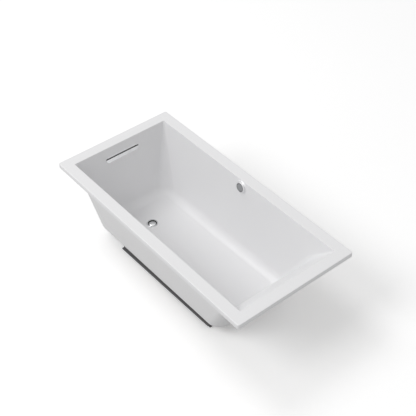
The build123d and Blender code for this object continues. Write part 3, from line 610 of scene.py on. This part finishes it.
set_down = step(
    socket_bead,
    "GeometryNodeTransform",
    Geometry=roll.outputs[0],
    Translation=k_in.outputs["Place"],
    Rotation=k_in.outputs["Turn"],
)
close_growth(socket_bead, set_down.outputs[0], k_in, k_end)
mouths = {
    "shoe_mouth_bead": ((-0.5435, 0.0, 0.0203), (0.0, pi / 2, 0.0)),
    "tee_mouth_bead": ((-0.7385, 0.0, 0.0203), (0.0, pi / 2, 0.0)),
    "outlet_mouth_bead": ((-0.8235, 0.0, 0.0203), (0.0, pi / 2, 0.0)),
    "tee_top_bead": ((-0.775, 0.0, 0.0725), (0.0, 0.0, 0.0)),
}
for name, (place, turn) in mouths.items():
    grow(socket_bead, name, "pvc", fitting_plastic, Place=place, Turn=turn, Radius=0.0188, Bead=0.0014)


# Riser nuts: moulded slip nuts with a ring of grip ribs between their eight flats.
# The ribs are half-round and run the height of the nut.
grip_ribs, g_in, g_end = new_growth(
    "grip_ribs",
    [
        ("Count", "Int", 32),
        ("Radius", "Float", 0.0232),
        ("Rib", "Float", 0.0009),
        ("Height", "Float", 0.010),
        ("Place", "Vector", None),
        ("Finish", "Material", None),
    ],
)
ring = step(grip_ribs, "GeometryNodeMeshCircle", Vertices=g_in.outputs["Count"], Radius=g_in.outputs["Radius"])
rib = step(
    grip_ribs, "GeometryNodeMeshCylinder", Vertices=8, Radius=g_in.outputs["Rib"], Depth=g_in.outputs["Height"]
)
ribs = step(grip_ribs, "GeometryNodeInstanceOnPoints", Points=ring.outputs[0], Instance=rib.outputs["Mesh"])
ribs_down = step(grip_ribs, "GeometryNodeTransform", Geometry=ribs.outputs[0], Translation=g_in.outputs["Place"])
close_growth(grip_ribs, ribs_down.outputs[0], g_in, g_end)
nut_low, nut_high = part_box("riser_nuts")
for name, middle in (("lower_nut_ribs", nut_low[2] + 0.007), ("upper_nut_ribs", nut_high[2] - 0.007)):
    grow(grip_ribs, name, "pvc", fitting_plastic, Place=(-0.775, 0.0, middle))


# Overflow box and trim: a moulded box behind the wall, painted near black inside as painted
# shade, and a pressed and chromed bar in front with the slot along its top edge.
# The bar is polished along its length; the slot's sawn walls are painted dark as painted shade.
box_plastic = Finish(
    "box_plastic", (0.82, 0.82, 0.80), (0.74, 0.74, 0.72), (0.3, 0.42), broad=12.0, fine=300.0, bump=0.1
)
box_facing = wire(box_plastic.tree, "SeparateXYZ", i0=wire(box_plastic.tree, "TexCoord").outputs["Normal"])
box_spot = wire(box_plastic.tree, "SeparateXYZ", i0=box_plastic.place)
# Painted shade: the box's inner back wall and its floor are coloured near black
painted_shade_back = sum_of(box_plastic.tree, "GREATER_THAN", box_facing.outputs[0], 0.5)
painted_shade_floor = sum_of(
    box_plastic.tree,
    "MULTIPLY",
    sum_of(box_plastic.tree, "GREATER_THAN", box_facing.outputs[2], 0.5),
    sum_of(box_plastic.tree, "LESS_THAN", box_spot.outputs[2], 0.45),
)
box_plastic.tint(sum_of(box_plastic.tree, "MAXIMUM", painted_shade_back, painted_shade_floor), (0.02, 0.02, 0.02), 0.8)
dress(box_plastic, "overflow_box")
bar_chrome = Finish("bar_chrome", (0.92, 0.92, 0.93), (0.84, 0.84, 0.85), (0.20, 0.30), metal=1.0, broad=30.0, fine=500.0)
polish = put_group(bar_chrome.tree, long_grain, bar_chrome.place, Along=(1.0, 0.04, 1.0), Rings=900.0)
bar_chrome.emboss(polish.outputs["Relief"], 0.04, 0.00005)
bar_spot = wire(bar_chrome.tree, "SeparateXYZ", i0=bar_chrome.place)
slot_middle, slot_reach = 0.46056, 0.00455
off_slot = sum_of(
    bar_chrome.tree, "ABSOLUTE", sum_of(bar_chrome.tree, "SUBTRACT", bar_spot.outputs[2], slot_middle), 0.0
)
# Painted shade: the slot's walls in the chrome are coloured near black and dulled
slot_shade_mask = sum_of(bar_chrome.tree, "LESS_THAN", off_slot, slot_reach)
bar_chrome.tint(slot_shade_mask, (0.02, 0.02, 0.02), 0.7)
dress(bar_chrome, "overflow_trim")

# Brass nuts and spindle: machined bar, left unplated where they are hidden.
# The turning lines show and the colour is a little tarnished.
wall_tilt = radians(8)
control_centre = (0.002, 0.328676, 0.4884)
control_axis = (0.0, -cos(wall_tilt), sin(wall_tilt))
control_brass = metal_finish(
    "control_brass", (0.62, 0.47, 0.22), (0.42, 0.30, 0.13), (0.25, 0.4), control_centre, control_axis, cut=0.2
)
dress(control_brass, "overflow_nuts", "control_nut", "control_spindle")


# Rotary control: a chromed escutcheon and knob, with a dark inlaid ring round a satin cap.
# The cap is faced on a lathe, so its lines run round the spindle.
control_chrome = metal_finish(
    "control_chrome", (0.93, 0.93, 0.94), (0.84, 0.84, 0.85), (0.26, 0.36), control_centre, control_axis, cut=0.03
)
control_chrome.shader.inputs["Metallic"].default_value = 0.6
dress(control_chrome, "control_escutcheon", "control_knob")
dark_ring = Finish("dark_ring", (0.03, 0.03, 0.035), (0.05, 0.05, 0.055), (0.35, 0.5), broad=60.0, fine=900.0)
dress(dark_ring, "control_ring")
satin_cap = metal_finish(
    "satin_cap", (0.62, 0.63, 0.64), (0.46, 0.47, 0.48), (0.25, 0.38), control_centre, control_axis, 9000.0, 0.3
)
dress(satin_cap, "control_cap", "control_crank")


# Plug and lift lever: a domed chrome cap on a turned stainless stem, and a bent steel
# lever whose shaft passes through the shoe.
plug_chrome = metal_finish("plug_chrome", chrome_light, chrome_dark, (0.22, 0.30), drain_centre, cut=0.02)
dress(plug_chrome, "plug_cap")
turned_steel = metal_finish("turned_steel", (0.62, 0.63, 0.64), (0.48, 0.49, 0.50), (0.28, 0.4), drain_centre, cut=0.2)
dress(turned_steel, "plug_stem", "lift_lever")
